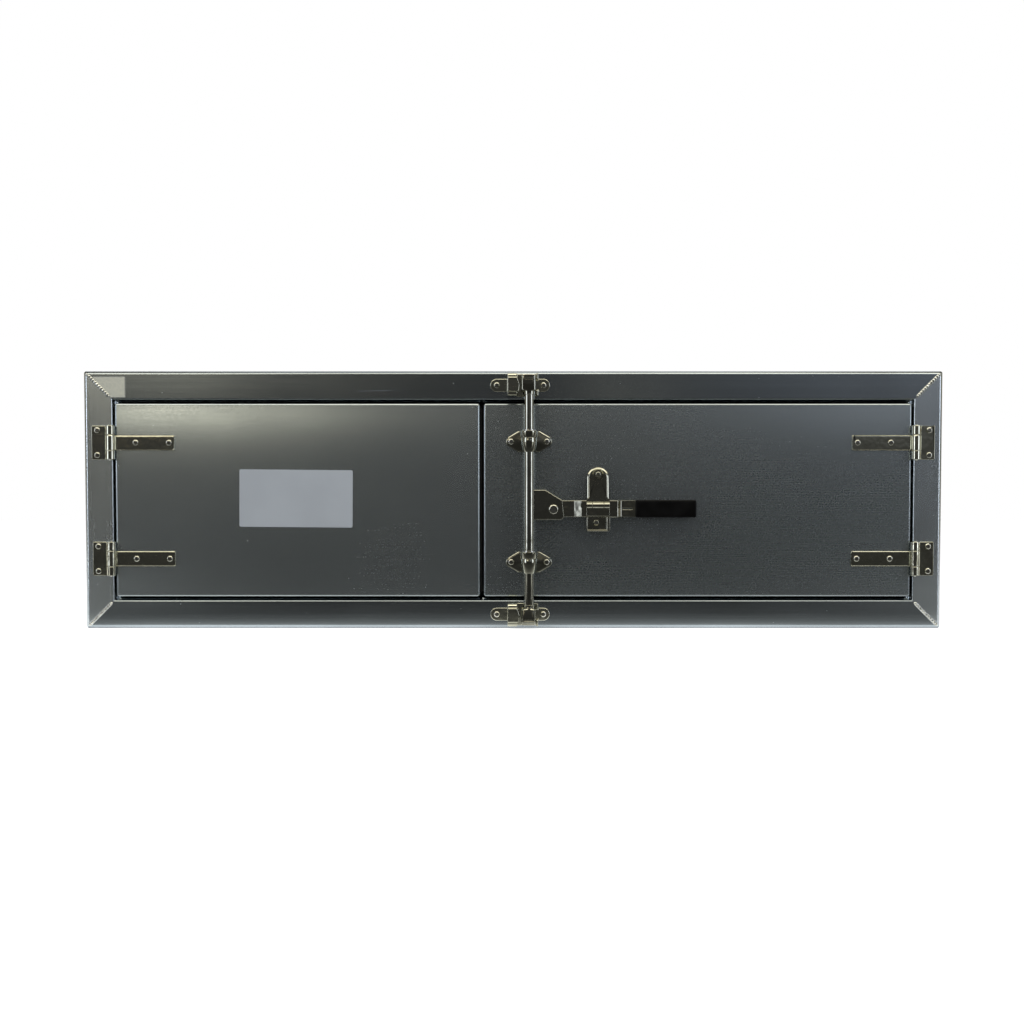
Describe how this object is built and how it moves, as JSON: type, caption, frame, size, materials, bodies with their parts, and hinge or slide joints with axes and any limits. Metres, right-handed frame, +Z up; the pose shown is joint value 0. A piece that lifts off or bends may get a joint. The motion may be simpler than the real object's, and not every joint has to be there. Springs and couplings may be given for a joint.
{
  "type": "truck tool box",
  "caption": "Long aluminium truck tool box with a welded mitred frame, side-hinged pan doors on strap hinges, and a vertical rod lock with folding handle and padlock hasp.",
  "frame": {"origin": "centre of the underside", "axes": "+Z up, +X to the right seen from the front, the doors face -Y"},
  "size_m": [1.524, 0.4967, 0.4572],
  "materials": {
    "frame_aluminium": "mill-finish aluminium, faint rolling marks",
    "weld_metal": "bright weld bead",
    "shell_aluminium": "mill-finish sheet",
    "left_door_aluminium": "bright mill-finish sheet, softly mottled",
    "right_door_aluminium": "bright mill-finish sheet with light scratches",
    "inner_aluminium": "plain mill-finish sheet",
    "seal_rubber": "matt black",
    "label_vinyl": "white vinyl, blank",
    "hinge_steel": "polished stainless",
    "pin_steel": "polished stainless",
    "bolt_steel": "polished button heads",
    "keeper_steel": "polished cast stainless",
    "guide_steel": "polished cast stainless",
    "bushing_steel": "turned steel",
    "rod_steel": "polished rod",
    "handle_steel": "polished flat bar",
    "hasp_steel": "polished pressed plate",
    "grip_plastic": "black vinyl sleeve, satin",
    "slide_steel": "zinc-plated steel"
  },
  "bodies": {
    "cabinet": {"bottom_rail": "frame_aluminium", "top_rail": "frame_aluminium", "left_stile": "frame_aluminium", "right_stile": "frame_aluminium", "bottom_rail_stop": "frame_aluminium", "top_rail_stop": "frame_aluminium", "left_stile_stop": "frame_aluminium", "right_stile_stop": "frame_aluminium", "corner_welds": "weld_metal", "shell_wrap": "shell_aluminium", "left_end_panel": "shell_aluminium", "right_end_panel": "shell_aluminium", "door_seal": "seal_rubber", "left_lower_hinge_leaf": "hinge_steel", "left_upper_hinge_leaf": "hinge_steel", "right_lower_hinge_leaf": "hinge_steel", "right_upper_hinge_leaf": "hinge_steel", "left_lower_hinge_pin": "pin_steel", "left_upper_hinge_pin": "pin_steel", "right_lower_hinge_pin": "pin_steel", "right_upper_hinge_pin": "pin_steel", "hinge_leaf_bolts": "bolt_steel", "bottom_keeper": "keeper_steel", "top_keeper": "keeper_steel", "keeper_bolts": "bolt_steel"},
    "left_door": {"left_door_skin": "left_door_aluminium", "left_door_liner": "inner_aluminium", "left_door_stiffeners": "inner_aluminium", "left_lower_hinge_strap": "hinge_steel", "left_upper_hinge_strap": "hinge_steel", "left_strap_bolts": "bolt_steel", "meeting_seal": "seal_rubber", "blank_label": "label_vinyl", "top_bolt_housing": "slide_steel", "bottom_bolt_housing": "slide_steel"},
    "right_door": {"right_door_skin": "right_door_aluminium", "right_door_liner": "inner_aluminium", "right_door_stiffeners": "inner_aluminium", "right_lower_hinge_strap": "hinge_steel", "right_upper_hinge_strap": "hinge_steel", "right_strap_bolts": "bolt_steel", "lower_guide": "guide_steel", "upper_guide": "guide_steel", "guide_bushings": "bushing_steel", "guide_bolts": "bolt_steel", "retainer_base": "hasp_steel", "retainer_bolts": "bolt_steel", "padlock_post": "hasp_steel"},
    "lock_rod": {"lock_rod": "rod_steel", "bottom_cam": "keeper_steel", "top_cam": "keeper_steel", "handle_hub": "handle_steel", "handle_rivet": "pin_steel"},
    "handle": {"handle_bar": "handle_steel", "handle_grip": "grip_plastic", "hasp_leaf": "hasp_steel", "hasp_pin": "pin_steel"},
    "hasp": {"hasp_flap": "hasp_steel"},
    "top_bolt": {"top_slide_bolt": "slide_steel"},
    "bottom_bolt": {"bottom_slide_bolt": "slide_steel"}
  },
  "joints": [
    {"name": "left_door_swing", "type": "hinge", "parent": "cabinet", "child": "left_door", "pos_m": [-0.714, -0.2374, 0.2286], "axis": [0, 0, -1], "range_deg": [0, 180]},
    {"name": "right_door_swing", "type": "hinge", "parent": "cabinet", "child": "right_door", "pos_m": [0.714, -0.2374, 0.2286], "axis": [0, 0, 1], "range_deg": [0, 180]},
    {"name": "rod_turn", "type": "hinge", "parent": "right_door", "child": "lock_rod", "pos_m": [0.028, -0.2526, 0.2286], "axis": [0, 0, -1], "range_deg": [0, 90]},
    {"name": "handle_lift", "type": "hinge", "parent": "lock_rod", "child": "handle", "pos_m": [0.071, -0.2526, 0.2125], "axis": [0, -1, 0], "range_deg": [0, 15]},
    {"name": "hasp_swing", "type": "hinge", "parent": "handle", "child": "hasp", "pos_m": [0.1498, -0.2554, 0.2197], "axis": [1, 0, 0], "range_deg": [0, 120]},
    {"name": "top_bolt_slide", "type": "slide", "parent": "left_door", "child": "top_bolt", "axis": [0, 0, 1], "range_m": [0, 0.016]},
    {"name": "bottom_bolt_slide", "type": "slide", "parent": "left_door", "child": "bottom_bolt", "axis": [0, 0, -1], "range_m": [0, 0.016]}
  ],
  "couplings": [
    {"joint": "hasp_swing", "follows": "handle_lift", "ratio": 8}
  ]
}
